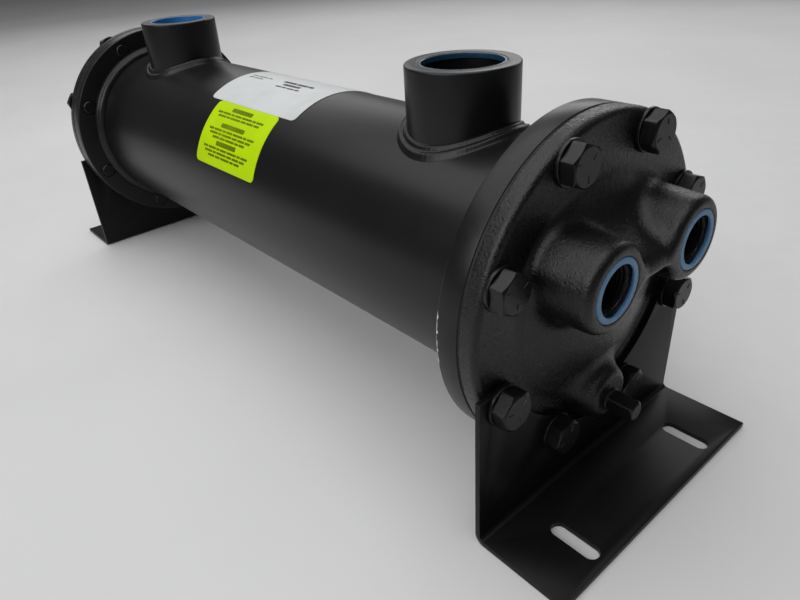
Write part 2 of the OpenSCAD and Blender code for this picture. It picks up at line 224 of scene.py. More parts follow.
def painted(name, dark, light, rough, swing, grain, depth, wear, shine=0.30, chip=None):
    """Black paint on steel or iron: slow drifts, a mottled gloss, orange peel, rubbed edges and some dust.
    dark and light are the ends of its grey, and swing is how far its roughness strays from rough. grain is
    the orange peel's fineness per metre, depth its height in metres, and wear the rubbed edges' strength."""
    n = Nodes(name)
    tone = n.mix(n.ramp(n.noise(26.0, 6.0, 0.62), 0.3, 0.7), grey(dark), grey(light, -0.03))
    upward = n.add("SeparateXYZ", inputs={"Vector": n.add("NewGeometry").outputs["Normal"]}).outputs["Z"]
    specks = n.ramp(n.noise(620.0, 3.0, 0.7), 0.55, 0.8)
    settled = n.math("MULTIPLY", n.ramp(upward, 0.2, 1.0, 0.2, 1.0), specks)
    settled = n.math("MULTIPLY", settled, DUST_COVER)
    tone = n.mix(settled, tone, grey(0.30, 0.04))
    rubbed = n.math("MULTIPLY", edge_mask(n), wear)
    tone = n.mix(rubbed, tone, grey(0.06, 0.06))
    gloss = n.ramp(n.noise(380.0, 4.0, 0.6), 0.25, 0.75, rough - swing, rough + swing)
    gloss = n.math("ADD", gloss, n.math("MULTIPLY", rubbed, 0.08))
    peel = n.bump(n.noise(grain, 2.0, 0.5), depth)
    surface = n.bump(n.noise(grain * 0.23, 2.0, 0.5), depth * 0.6, normal=peel)
    if chip:
        tone, gloss = paint_chip(n, tone, gloss, *chip)
    n.set(Base_Color=tone, Roughness=gloss, Normal=surface)
    n.shader.inputs["Specular IOR Level"].default_value = shine
    return n.material


def paint_chip(n, tone, gloss, place, reach, width):
    """Bare bright metal along a flange's back edge around one spot, with a ragged outline."""
    away = n.add("VectorMath", {"operation": "DISTANCE"}, {0: n.coords, 1: place}).outputs["Value"]
    along = n.add("SeparateXYZ", inputs={"Vector": n.coords}).outputs["X"]
    ragged = n.math("MULTIPLY", n.ramp(n.noise(260.0, 5.0, 0.7), 0.3, 0.7), width * 1.6)
    from_edge = n.math("SUBTRACT", n.math("SUBTRACT", along, place[0]), ragged)
    edge = n.math("MULTIPLY", n.ramp(away, reach, reach * 0.8), n.ramp(from_edge, width * 0.2, -width * 0.1))
    return n.mix(edge, tone, grey(0.62)), n.math("SUBTRACT", gloss, n.math("MULTIPLY", edge, 0.06))


def plastic(name, colour, pale, rough, scuff, depth=0.00004):
    """Moulded plastic: slight colour drift, fine texture and pale scuffs on its edges."""
    n = Nodes(name)
    tone = n.mix(n.ramp(n.noise(60.0, 4.0), 0.3, 0.7), colour, pale)
    tone = n.mix(n.math("MULTIPLY", edge_mask(n, 0.0004, 260.0), scuff), tone, grey(0.75))
    n.set(Base_Color=tone, Roughness=n.ramp(n.noise(190.0, 3.0), 0.3, 0.7, rough - 0.07, rough + 0.07),
          Normal=n.bump(n.noise(1400.0, 2.0), depth))
    return n.material


def label_stock(name, colour, shade, rough):
    """Printed label film: faint unevenness of the coating, and shallow ripples where it is stuck down."""
    n = Nodes(name)
    tone = n.mix(n.ramp(n.noise(35.0, 5.0), 0.35, 0.7), colour, shade)
    tone = n.mix(n.math("MULTIPLY", n.ramp(n.noise(420.0, 4.0, 0.7), 0.6, 0.75), 0.10), tone, grey(0.35))
    film = n.bump(n.noise(900.0, 2.0), 0.00001)
    n.set(Base_Color=tone, Roughness=n.ramp(n.noise(120.0, 3.0), 0.3, 0.7, rough - 0.06, rough + 0.06),
          Normal=n.bump(n.noise(40.0, 2.0), 0.0002, 0.5, normal=film))
    n.shader.inputs["Specular IOR Level"].default_value = 0.10
    return n.material


def bare_metal(name, colour, shade, rough, grain=(300.0, 300.0, 300.0)):
    """Uncoated metal: tarnish blotches, directional grain and brighter edges."""
    n = Nodes(name)
    stretched = n.add("Mapping", inputs={"Vector": n.coords, "Scale": grain}).outputs["Vector"]
    streaks = n.add("TexNoise", inputs={"Vector": stretched, "Scale": 1.0, "Detail": 3.0}).outputs["Fac"]
    tone = n.mix(n.ramp(n.noise(55.0, 5.0, 0.6), 0.35, 0.7), colour, shade)
    tone = n.mix(n.math("MULTIPLY", edge_mask(n), METAL_WEAR), tone, grey(0.8, 0.05))
    n.set(Base_Color=tone, Roughness=n.ramp(streaks, 0.25, 0.75, rough - 0.09, rough + 0.12),
          Normal=n.bump(streaks, 0.00003))
    n.shader.inputs["Metallic"].default_value = 1.0
    return n.material


# The spot on the front hub flange's back edge where the paint is chipped
chip_angle = math.radians(179.5)
chip_y = FLANGE_R * math.cos(chip_angle)
chip_z = AXIS_Z + FLANGE_R * math.sin(chip_angle)
chip_place = Vector((JOINT_X - HUB_T, chip_y, chip_z)) * MM

SHELL_PAINT = painted("shell_black_paint", 0.0036, 0.0050, rough=0.33, swing=0.008,
                      grain=900.0, depth=0.000010, wear=0.5)
HUB_PAINT = painted("hub_black_paint", 0.0040, 0.0070, rough=0.33, swing=0.03,
                    grain=900.0, depth=0.00003, wear=0.2, chip=(chip_place, 0.016, 0.0010))
CAST_PAINT = painted("cast_black_paint", 0.0035, 0.0065, rough=0.28, swing=0.03,
                     grain=1200.0, depth=0.00030, wear=0.25, shine=0.36)
SHEET_PAINT = painted("sheet_black_paint", 0.0036, 0.0050, rough=0.40, swing=0.012,
                      grain=900.0, depth=0.000010, wear=0.5, shine=0.20)
BOLT_PAINT = painted("bolt_black_paint", 0.0038, 0.0070, rough=0.30, swing=0.04,
                     grain=1100.0, depth=0.00004, wear=0.8)
WELD_PAINT = painted("weld_black_paint", 0.0042, 0.0070, rough=0.33, swing=0.03,
                     grain=1000.0, depth=0.00002, wear=0.1)
THREAD_PAINT = painted("oiled_dark_thread", 0.0030, 0.0060, rough=0.42, swing=0.05,
                       grain=900.0, depth=0.00002, wear=0.5, shine=0.10)
BLUE_PLASTIC = plastic("blue_protector_plastic", (0.075, 0.185, 0.345, 1), (0.100, 0.225, 0.400, 1),
                       rough=0.40, scuff=0.1)
SLEEVE_PLASTIC = plastic("blue_sleeve_plastic", (0.012, 0.115, 0.330, 1), (0.025, 0.170, 0.430, 1),
                         rough=0.34, scuff=0.05)
# Copy of the blue sleeve plastic, darkened to paint the shade inside the front oil port's mouth
SHADED_SLEEVE = plastic("shaded_blue_sleeve_plastic", (0.006, 0.035, 0.075, 1), (0.010, 0.055, 0.100, 1),
                      rough=0.30, scuff=0.05)
WHITE_FILM = label_stock("white_label_film", (0.56, 0.575, 0.575, 1), (0.51, 0.525, 0.525, 1), 0.42)
YELLOW_FILM = label_stock("yellow_label_film", (0.43, 0.64, 0.0, 1), (0.39, 0.58, 0.0, 1), 0.50)
INK = label_stock("label_ink", (0.05, 0.05, 0.05, 1), (0.10, 0.10, 0.10, 1), 0.5)
OLIVE_INK = label_stock("caution_label_ink", (0.10, 0.14, 0.0, 1), (0.16, 0.22, 0.0, 1), 0.5)
RUBBER = plastic("gasket_sheet", (0.0040, 0.0038, 0.0036, 1), (0.0080, 0.0076, 0.0070, 1),
                 rough=0.78, scuff=0.004, depth=0.00008)
BRASS = bare_metal("tube_sheet_brass", (0.62, 0.46, 0.20, 1), (0.45, 0.31, 0.13, 1), 0.34)
COPPER = bare_metal("tube_copper", (0.72, 0.38, 0.24, 1), (0.50, 0.23, 0.14, 1), 0.30, (12.0, 700.0, 700.0))
STEEL = bare_metal("baffle_steel", (0.46, 0.46, 0.45, 1), (0.33, 0.33, 0.32, 1), 0.36, (500.0, 60.0, 60.0))


# ---------------------------------------------------------------- mesh building
# Vertices closer than this, in millimetres, are one
MERGE = 0.0005


class Shape:
    """Vertices in millimetres with faces, gathered from several parts, each with one material number."""

    def __init__(self):
        self.points = []
        self.faces = []
        self.numbers = []
        self.count = 0

    def add(self, points, faces, number=0):
        points = np.asarray(points, float).reshape(-1, 3)
        self.points.append(points)
        self.faces += [tuple(int(i) + self.count for i in face) for face in faces]
        self.numbers += [number] * len(faces)
        self.count += len(points)
        return self

    def make(self, name, materials, slot, stands_for=(), sharp_angle=32.0, merge=MERGE):
        """Makes the piece, in metres, with its normals outwards and its sharp edges marked."""
        mesh = bpy.data.meshes.new(name)
        mesh.from_pydata((np.concatenate(self.points) * MM).tolist(), [], self.faces)
        mesh.polygons.foreach_set("material_index", self.numbers)
        for material in materials:
            mesh.materials.append(material)
        clean(mesh, merge)
        piece = bpy.data.objects.new(name, mesh)
        bpy.context.scene.collection.objects.link(piece)
        finish_piece(piece, stands_for, sharp_angle)


def clean(mesh, merge):
    """Joins vertices closer than merge millimetres and turns the normals outwards."""
    work = bmesh.new()
    work.from_mesh(mesh)
    bmesh.ops.remove_doubles(work, verts=work.verts, dist=merge * MM)
    bmesh.ops.recalc_face_normals(work, faces=work.faces)
    work.to_mesh(mesh)
    work.free()


def finish_piece(piece, stands_for, sharp_angle):
    """Shades a piece, hangs it on its body and hides the CAD nodes that it replaces."""
    piece.data.shade_smooth()
    piece.data.set_sharp_from_angle(angle=math.radians(sharp_angle))
    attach(piece, BODY)
    if stands_for:
        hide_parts(*stands_for)


def skin(grid, wrap_rows=False, caps=False):
    """Quads between the points of a grid of shape rows x columns x 3. Each row is a closed loop. wrap_rows
    joins the last row to the first, and caps closes each of the two with a face."""
    grid = np.asarray(grid, float)
    rows, columns = grid.shape[:2]
    faces = []
    for i in range(rows if wrap_rows else rows - 1):
        for j in range(columns):
            a, b = i, (i + 1) % rows
            c, d = j, (j + 1) % columns
            faces.append((a * columns + c, b * columns + c, b * columns + d, a * columns + d))
    if caps:
        faces.append(tuple(range(columns)))
        faces.append(tuple(range((rows - 1) * columns, rows * columns)))
    return grid.reshape(-1, 3), faces


def lathe(profile, segments=160, wrap=True):
    """Turns a profile of (radius, x) round the X axis."""
    angle = np.linspace(0, 2 * math.pi, segments, endpoint=False)
    profile = np.asarray(profile, float)
    grid = np.empty((len(profile), segments, 3))
    grid[..., 0] = profile[:, 1:2]
    grid[..., 1] = profile[:, :1] * np.cos(angle)
    grid[..., 2] = profile[:, :1] * np.sin(angle)
    return skin(grid, wrap_rows=wrap)


def arc(centre, radius, start, end, steps=6):
    """Points of an arc in a plane, with angles in degrees from the plane's first axis towards its second."""
    angles = np.radians(np.linspace(start, end, steps))
    return [(centre[0] + radius * math.cos(a), centre[1] + radius * math.sin(a)) for a in angles]


def ring_profile(inner, outer, x0, x1, edge):
    """Closed profile of a ring whose four edges are rounded."""
    return (arc((outer - edge, x1 - edge), edge, 0, 90)
            + arc((inner + edge, x1 - edge), edge, 90, 180)
            + arc((inner + edge, x0 + edge), edge, 180, 270)
            + arc((outer - edge, x0 + edge), edge, 270, 360))


def turn_x(points, angle, y=0.0, z=0.0, x=0.0):
    """Turns points about the X axis by an angle in radians, then moves them."""
    c, s = math.cos(angle), math.sin(angle)
    along, across, up = np.asarray(points, float).T
    return np.stack([along, c * across - s * up, s * across + c * up], -1) + (x, y, z)


def at_end(points, end):
    """From an end's own frame, with X out of the cooler, to the cooler's. end is 1 for front, -1 for rear."""
    points = np.asarray(points, float)
    return np.stack([end * (JOINT_X + points[:, 0]), points[:, 1], AXIS_Z + points[:, 2]], -1)


def upright(points, x):
    """From a frame whose X is an oil port's axis to the cooler's, where that X becomes Z."""
    points = np.asarray(points, float)
    return np.stack([x - points[:, 2], points[:, 1], AXIS_Z + points[:, 0]], -1)


def helix(radius, depth, pitch, x0, x1, steps=64):
    """Thread crest as one long ridge that winds inwards from a bore's wall and fades out at both ends."""
    turns = (x1 - x0) / pitch
    t = np.linspace(0, 1, int(turns * steps))
    angle = 2 * math.pi * turns * t
    fade = np.clip(np.minimum(t, 1 - t) * turns * 1.5, 0.04, 1)
    x = x0 + (x1 - x0) * t
    section = [(0.35, -0.48), (-depth, -0.07), (-depth, 0.07), (0.35, 0.48)]
    grid = np.empty((len(t), len(section), 3))
    for k, (out, along) in enumerate(section):
        r = radius + np.where(out < 0, out * fade, out)
        grid[:, k] = np.stack([x + along * pitch, r * np.cos(angle), r * np.sin(angle)], -1)
    return skin(grid, caps=True)


def smooth_min(a, b, width):
    blend = np.maximum(width - np.abs(a - b), 0) / width
    return np.minimum(a, b) - blend * blend * width / 4


def smooth_max(a, b, width):
    return -smooth_min(-a, -b, width)


def distance_disc(radial, x, radius, front, edge):
    """Distance to a disc on the X axis with a rounded front edge."""
    q0, q1 = radial - (radius - edge), x - (front - edge)
    return np.hypot(np.maximum(q0, 0), np.maximum(q1, 0)) + np.minimum(np.maximum(q0, q1), 0) - edge


def distance_block(x, y, z, centre, half, edge):
    q = [np.abs(v - c) - (h - edge) for v, c, h in zip((x, y, z), centre, half)]
    outside = np.sqrt(sum(np.maximum(v, 0) ** 2 for v in q))
    return outside + np.minimum(np.maximum(np.maximum(q[0], q[1]), q[2]), 0) - edge


# Steps back to the four cells round a grid edge, along the two axes that follow the edge's axis
CELL_STEPS = ((1, 1), (0, 1), (0, 0), (1, 0))


def edge_crossings(values):
    """Grid edges that cross the surface, by axis: where each starts, whether it starts inside, and where it
    crosses, all counted in cells."""
    for axis in range(3):
        near = tuple(slice(0, -1) if a == axis else slice(None) for a in range(3))
        far = tuple(slice(1, None) if a == axis else slice(None) for a in range(3))
        where = np.argwhere((values[near] < 0) != (values[far] < 0))
        start, stop = values[near][tuple(where.T)], values[far][tuple(where.T)]
        place = where.astype(float)
        place[:, axis] += start / (start - stop)
        yield axis, where, start < 0, place


def cell_beside(where, axis, back):
    cell = where.copy()
    cell[:, (axis + 1) % 3] -= back[0]
    cell[:, (axis + 2) % 3] -= back[1]
    return tuple(cell.T)


def iso_surface(field, low, high, step):
    """Mesh where the field is zero, with one vertex in each cell that the surface crosses."""
    margin = 2.3 * step
    axes = [np.arange(a - margin, b + margin, step) for a, b in zip(low, high)]
    values = field(*np.meshgrid(*axes, indexing="ij"))
    cells = tuple(n - 1 for n in values.shape)
    total = np.zeros(cells + (3,))
    count = np.zeros(cells, np.int32)
    crossings = list(edge_crossings(values))
    for axis, where, _, place in crossings:
        for back in CELL_STEPS:
            cell = cell_beside(where, axis, back)
            np.add.at(total, cell, place)
            np.add.at(count, cell, 1)
    used = np.nonzero(count)
    number = np.full(cells, -1, np.int64)
    number[used] = np.arange(len(used[0]))
    origin = np.array([axis[0] for axis in axes])
    points = origin + step * total[used] / count[used][:, None]
    faces = []
    for axis, where, starts_inside, _ in crossings:
        quad = np.stack([number[cell_beside(where, axis, back)] for back in CELL_STEPS], -1)
        faces.append(np.where(starts_inside[:, None], quad, quad[:, ::-1]))
    return settled_on(field, points, step), np.concatenate(faces).tolist()


def settled_on(field, points, step):
    """Points moved on to the surface where the field is zero, in short steps along the field's slope."""
    probe = 0.02
    longest = 0.3 * step
    for _ in range(3):
        value = field(*points.T)
        slope = np.stack([(field(*(points + offset).T) - field(*(points - offset).T)) / (2 * probe)
                          for offset in np.eye(3) * probe], -1)
        move = value[:, None] * slope / np.maximum((slope ** 2).sum(1), 0.2)[:, None]
        points = points - np.clip(move, -longest, longest)
    return points


def cut(solid, cutters):
    """Takes the cutter meshes out of a solid object and leaves it with plain geometry."""
    blades = [bpy.data.objects.new("cutter", cutter) for cutter in cutters]
    for blade in blades:
        bpy.context.scene.collection.objects.link(blade)
        boolean = solid.modifiers.new("cut", "BOOLEAN")
        boolean.operation = "DIFFERENCE"
        boolean.solver = "EXACT"
        boolean.object = blade
    bake_modifiers(solid)
    for blade in blades:
        bpy.data.objects.remove(blade)


def bake_modifiers(solid):
    """Puts what the modifiers make into the object's own mesh."""
    bpy.context.view_layer.update()
    evaluated = solid.evaluated_get(bpy.context.evaluated_depsgraph_get())
    mesh = bpy.data.meshes.new_from_object(evaluated)
    solid.modifiers.clear()
    solid.data = mesh


def soften(solid, width):
    """Rounds a solid's sharp edges by a width in millimetres."""
    bevel = solid.modifiers.new("soften", "BEVEL")
    bevel.width = width * MM
    bevel.segments = 3
    bevel.limit_method = "ANGLE"
    bevel.angle_limit = math.radians(30)
    bake_modifiers(solid)


def raw_mesh(name, points, faces):
    mesh = bpy.data.meshes.new(name)
    mesh.from_pydata((np.asarray(points) * MM).tolist(), [], faces)
    clean(mesh, MERGE)
    return mesh


def solid_object(name, points, faces):
    """Object to be cut and finished later, linked into the scene."""
    solid = bpy.data.objects.new(name, raw_mesh(name, points, faces))
    bpy.context.scene.collection.objects.link(solid)
    return solid


def rod(radius, x0, x1, segments=96):
    """Plain rod on the X axis, closed at both ends."""
    return lathe([(0, x0), (radius, x0), (radius, x1), (0, x1)], segments, wrap=False)


def bolt_places():
    """Number, y and z of each bolt on the bolt circle, counted from the +Y side upwards."""
    for i in range(BOLT_COUNT):
        angle = math.radians(360.0 / BOLT_COUNT * (i + 0.5))
        yield i, BOLT_CIRCLE_R * math.cos(angle), BOLT_CIRCLE_R * math.sin(angle)


# ---------------------------------------------------------------- cast bonnets
SPHERE_R = (DOME_R ** 2 + (CROWN - SEAT) ** 2) / (2 * (CROWN - SEAT))
SPHERE_X = CROWN - SPHERE_R
# How softly the two port bosses and the drain boss run into the dome
PORT_FILLET = 9.0
DRAIN_FILLET = 11.0
# How softly the machined faces and bores break into the casting
MACHINED_EDGE = 0.9
# The water port bosses: how much thinner they get per millimetre, and the rounding of their rims
BOSS_TAPER = 0.06
BOSS_EDGE = 4.6
# The web between them: its middle, its half sizes, and the plane that slopes its top down on to the dome
WEB_MIDDLE = (22.0, 0.0, 28.5)
WEB_HALF = (21.7, WATER_Y, 9.0)
WEB_SLOPE_X = 43.0
WEB_SLOPE_Z = 28.0
WEB_NORMAL = (0.447, 0.894)
# The drain boss's cone: its radius at the flange, and how much it narrows per millimetre
DRAIN_ROOT_R = 20.6
DRAIN_TAPER = 0.41


def bonnet_field(x, y, z, ported):
    """Signed distance to a bonnet in its own frame, with the cast fillets and the machined bores."""
    radial = np.hypot(y, z)
    flange = distance_disc(radial, x, FLANGE_R, SEAT, RIM_EDGE)
    relief = np.hypot(x - SPHERE_X, radial) - SPHERE_R
    if ported:
        relief = smooth_min(relief, port_relief(x, y, z), PORT_FILLET)
        relief = smooth_min(relief, drain_relief(x, y, z), DRAIN_FILLET)
    fillet = np.interp(radial, (60.0, 71.0), (8.0, 3.0))
    body = smooth_min(flange, relief, fillet)
    unevenness = 0.10 * np.sin(0.19 * y + 0.7) * np.sin(0.16 * z + 0.4)
    body = body + unevenness * np.clip(x - SEAT + 2, 0, 4) / 4
    body = smooth_max(np.maximum(body, BACK - x), x - (PORT_FACE if ported else CROWN), 0.8)
    inner = np.maximum(np.hypot(x - SPHERE_X, radial) - (SPHERE_R - BONNET_WALL), radial - CAVITY_R)
    if ported:
        inner = np.maximum(inner, RIB_T / 2 - np.abs(y))
    body = smooth_max(body, -inner, 1.0)
    if ported:
        for side in (-1, 1):
            port = np.hypot(y - side * WATER_Y, z - WATER_Z)
            bore = np.maximum(port - WATER_BORE_R, BACK + 4 - x)
            mouth = np.maximum(port - WATER_MOUTH_R, PORT_FACE - WATER_MOUTH_DEPTH - x)
            body = smooth_max(body, -bore, MACHINED_EDGE)
            body = smooth_max(body, -mouth, MACHINED_EDGE)
    for _, bolt_y, bolt_z in bolt_places():
        body = np.maximum(body, BOLT_HOLE_R - np.hypot(y - bolt_y, z - bolt_z))
    return body


def port_relief(x, y, z):
    """The two water port bosses, and the web between them that slopes on to the dome above."""
    taper = BOSS_TAPER * np.clip(x - SEAT, 0, PORT_FACE)
    left, right = [distance_disc(np.hypot(y - side * WATER_Y, z - WATER_Z) + taper, x,
                                 BOSS_R, PORT_FACE, BOSS_EDGE) for side in (-1, 1)]
    web = distance_block(x, y, z, WEB_MIDDLE, WEB_HALF, 3.0)
    slope = WEB_NORMAL[0] * (x - WEB_SLOPE_X) + WEB_NORMAL[1] * (z - WEB_SLOPE_Z)
    web = smooth_max(web, slope, 6.0)
    return smooth_min(smooth_min(left, right, 4.0), web, 7.0)


def drain_relief(x, y, z):
    """The drain boss: a round nose on a broad root."""
    radial = np.hypot(y, z - DRAIN_BOSS_Z)
    cone = radial - (DRAIN_ROOT_R - DRAIN_TAPER * (x - SEAT))
    return smooth_max(cone * math.cos(math.atan(DRAIN_TAPER)), x - DRAIN_FACE, 3.0)


def cast_bonnet(name, end, node, ported):
    """Casting of one end, made from the distance field."""
    reach = PORT_FACE if ported else CROWN

    def field(x, y, z):
        return bonnet_field(x, y, z, ported)

    step = 0.85
    points, faces = iso_surface(field, (BACK, -FLANGE_R, -FLANGE_R), (reach, FLANGE_R, FLANGE_R), step)
    shape = Shape().add(at_end(points, end), faces)
    shape.make(name, [CAST_PAINT], "cast_paint", [node], sharp_angle=48.0, merge=0.0001)


cast_bonnet("front_bonnet_casting", 1, "front_bonnet", True)
cast_bonnet("rear_bonnet_casting", -1, "rear_bonnet", False)


# ---------------------------------------------------------------- bolts and washers
def wrench_head(across, height, face_r, sides=6, corner=1.138):
    """Head with flats from x = 0 to its height, with the curved chamfer that turning leaves on its corners.
    corner is how far the rounded corners reach, as a share of half the width across the flats."""
    bottom_edge = 0.35
    angle = np.linspace(0, 2 * math.pi, 96, endpoint=False)
    step = 360 / sides
    from_flat = (np.degrees(angle) + step / 2) % step - step / 2
    edge = np.minimum(across / 2 / np.cos(np.radians(from_flat)), across / 2 * corner)
    drop = np.maximum(edge - face_r, 0) * math.tan(math.radians(30))
    level = np.zeros(len(angle))
    rows = [(level, level), (edge - bottom_edge, level), (edge, level + bottom_edge),
            (edge, height - drop - 0.12), (edge - 0.15, height - drop), (level + face_r, level + height),
            (level + 0.8 * face_r, level + height), (level, level + height - 0.05)]
    grid = np.stack([np.stack([x, r * np.cos(angle), r * np.sin(angle)], -1) for r, x in rows])
    return skin(grid)


def raised_dash(x, angle):
    """Small raised bar that runs outwards on a bolt's face."""
    half_foot, half_top = 0.55, 0.33
    height, sunk = 0.35, 0.5
    section = [(-sunk, half_foot), (-sunk, -half_foot), (height, -half_top), (height, half_top)]
    grid = np.array([[(x + h, r, w) for h, w in section] for r in (4.4, 7.4)])
    points, faces = skin(grid, caps=True)
    return turn_x(points, angle), faces


def bolt(shape, end, y, z, head_x, turn):
    """Hex bolt with generic grade dashes, a shank and a threaded tip behind the hub flange."""
    points, faces = wrench_head(BOLT_AF, BOLT_HEAD_T, FACE_R_SHARE * BOLT_AF)
    shape.add(at_end(turn_x(points, turn, y, z, head_x), end), faces)
    for k in range(3):
        points, faces = raised_dash(head_x + BOLT_HEAD_T, turn + math.radians(30 + 120 * k))
        shape.add(at_end(turn_x(points, 0, y, z), end), faces)
    tip = -HUB_T - BOLT_OVERRUN
    crest_r, root_r = BOLT_R - 0.15, BOLT_R - 1.0
    profile = [(0, tip), (BOLT_R - 1.2, tip), (crest_r, tip + 1.05)]
    for k in range(5):
        ridge = tip + 1.3 + 1.95 * k
        profile += [(crest_r, ridge), (root_r, ridge + 0.85), (crest_r, ridge + 1.7)]
    profile += [(BOLT_R, tip + 12), (BOLT_R, head_x + 0.5), (0, head_x + 0.5)]
    points, faces = lathe(profile, 48, wrap=False)
    shape.add(at_end(turn_x(points, 0, y, z), end), faces)


# Turn of each bolt's hexagon in degrees, as they were left when tightened
HEAD_TURNS = (12.0, 52.0, 9.0, 2.0, 16.0, 40.0, 22.0, 9.0)
for end, label in ((1, "front"), (-1, "rear")):
    over_bonnet, over_bracket, washers = Shape(), Shape(), Shape()
    for i, y, z in bolt_places():
        on_bracket = z < 0
        seat = SEAT + (PLATE_T if on_bracket else 0)
        turn = math.radians(HEAD_TURNS[i] if end > 0 else HEAD_TURNS[-1 - i] + 7)
        bolt(over_bracket if on_bracket else over_bonnet, end, y, z, seat + WASHER_T, turn)
        points, faces = lathe(ring_profile(BOLT_R + 0.2, WASHER_R, seat, seat + WASHER_T, 0.45), 72)
        washers.add(at_end(turn_x(points, 0, y, z), end), faces)
    over_bonnet.make(f"{label}_bonnet_hex_bolts", [BOLT_PAINT], "bolt_paint", [f"{label}_bonnet_bolts"])
    over_bracket.make(f"{label}_bracket_hex_bolts", [BOLT_PAINT], "bolt_paint", [f"{label}_bracket_bolts"])
    washers.make(f"{label}_flat_washers", [BOLT_PAINT], "bolt_paint", [f"{label}_bolt_washers"])


# ---------------------------------------------------------------- drain plug
plug = Shape()
points, faces = wrench_head(PLUG_AF, PLUG_END - DRAIN_FACE, FACE_R_SHARE * PLUG_AF, sides=4, corner=1.30)
plug.add(at_end(turn_x(points, math.radians(8), 0, DRAIN_Z, DRAIN_FACE), 1), faces)
points, faces = lathe([(0, 8), (5.8, 8), (PLUG_R - 0.4, DRAIN_FACE - 0.5), (PLUG_R + 0.3, DRAIN_FACE + 0.2),
                       (PLUG_R + 0.3, DRAIN_FACE + 0.9), (PLUG_R - 0.2, DRAIN_FACE + 1.4),
                       (PLUG_R - 1.0, DRAIN_FACE + 0.9), (0, DRAIN_FACE + 0.8)], 72, wrap=False)
plug.add(at_end(turn_x(points, 0, 0, DRAIN_Z), 1), faces)
plug.make("drain_square_plug", [BOLT_PAINT], "bolt_paint", ["drain_plug"])


# ---------------------------------------------------------------- thread protectors and threads
for side, label in ((-1, "left"), (1, "right")):
    mouth_floor = PORT_FACE - WATER_MOUTH_DEPTH
    face_edge, lip_edge = 0.9, 0.4
    undercut_r = WATER_RING_R + 2.6
    profile = arc((WATER_MOUTH_R - face_edge, PORT_FACE - face_edge), face_edge, 0, 90)
    profile += arc((WATER_RING_R + lip_edge, PORT_FACE - lip_edge), lip_edge, 90, 180, 5)
    profile += [(WATER_RING_R, PORT_FACE - 0.8), (undercut_r, PORT_FACE - 1.3),
                (undercut_r, mouth_floor), (WATER_MOUTH_R, mouth_floor)]
    points, faces = lathe(profile, 128)
    ring = Shape().add(at_end(turn_x(points, 0, side * WATER_Y, WATER_Z), 1), faces)
    ring.make(f"{label}_water_ring", [BLUE_PLASTIC], "protector_blue", [f"{label}_water_thread_protector"])
    points, faces = helix(WATER_BORE_R, WATER_THREAD_DEPTH, WATER_THREAD_PITCH,
                          PORT_FACE - 24, mouth_floor - 0.4)
    thread = Shape().add(at_end(turn_x(points, 0, side * WATER_Y, WATER_Z), 1), faces)
    thread.make(f"{label}_water_thread", [THREAD_PAINT], "cast_paint", sharp_angle=20.0)

# The front sleeve takes the darkened copy of the blue plastic, which paints the shade inside its port
for side, label, depth, material in ((1, "front", FRONT_SLEEVE_DEPTH, SHADED_SLEEVE),
                                     (-1, "rear", OIL_MOUTH_DEPTH, SLEEVE_PLASTIC)):
    edge = 0.5
    top = OIL_RIM - 0.1
    profile = arc((OIL_MOUTH_R - edge, top - edge), edge, 0, 90, 5)
    profile += arc((OIL_SLEEVE_R + edge, top - edge), edge, 90, 180, 5)
    profile += [(OIL_SLEEVE_R, OIL_RIM - depth), (OIL_MOUTH_R, OIL_RIM - depth)]
    points, faces = lathe(profile)
    sleeve = Shape().add(upright(points, side * OIL_X), faces)
    sleeve.make(f"{label}_oil_sleeve", [material], "protector_blue", [f"{label}_oil_thread_protector"])
    mouth_floor = OIL_RIM - OIL_MOUTH_DEPTH
    points, faces = helix(OIL_BORE_R, OIL_THREAD_DEPTH, OIL_THREAD_PITCH,
                          mouth_floor - OIL_TAPPING + 2, mouth_floor - 0.6, 96)
    thread = Shape().add(upright(points, side * OIL_X), faces)
    thread.make(f"{label}_oil_thread", [THREAD_PAINT], "shell_paint", sharp_angle=20.0)


# ---------------------------------------------------------------- shell, hub flanges, oil ports
bore_r = SHELL_R - SHELL_WALL
points, faces = lathe([(SHELL_R, -JOINT_X), (SHELL_R, JOINT_X), (bore_r, JOINT_X), (bore_r, -JOINT_X)], 256)
shell = solid_object("shell_barrel", points + (0, 0, AXIS_Z), faces)
passages = []
for side in (-1, 1):
    points, faces = rod(OIL_PASSAGE_R, 20, 90)
    passages.append(raw_mesh("passage", upright(points, side * OIL_X), faces))
cut(shell, passages)
shell.data.materials.append(SHELL_PAINT)
finish_piece(shell, ["shell_tube"], 30.0)

for end, label in ((1, "front"), (-1, "rear")):
    front_edge, back_edge = 0.5, 0.9
    profile = arc((FLANGE_R - front_edge, -front_edge), front_edge, 0, 90, 4)
    profile += [(SHELL_R + HOLE_PLAY, 0), (SHELL_R + HOLE_PLAY, -HUB_T)]
    profile += arc((FLANGE_R - back_edge, -HUB_T + back_edge), back_edge, 270, 360, 5)
    points, faces = lathe(profile, 256)
    hub = solid_object(f"{label}_hub_ring", at_end(points, end), faces)
    holes = []
    for _, y, z in bolt_places():
        points, faces = rod(BOLT_R + HOLE_PLAY, -HUB_T - 5, 5, 48)
        holes.append(raw_mesh("hole", at_end(turn_x(points, 0, y, z), end), faces))
    cut(hub, holes)
    hub.data.materials.append(HUB_PAINT)
    finish_piece(hub, [f"{label}_hub_flange"], 30.0)


def circle(x, radius, around):
    return np.stack([x + 0 * around, radius * np.cos(around), radius * np.sin(around)], -1)


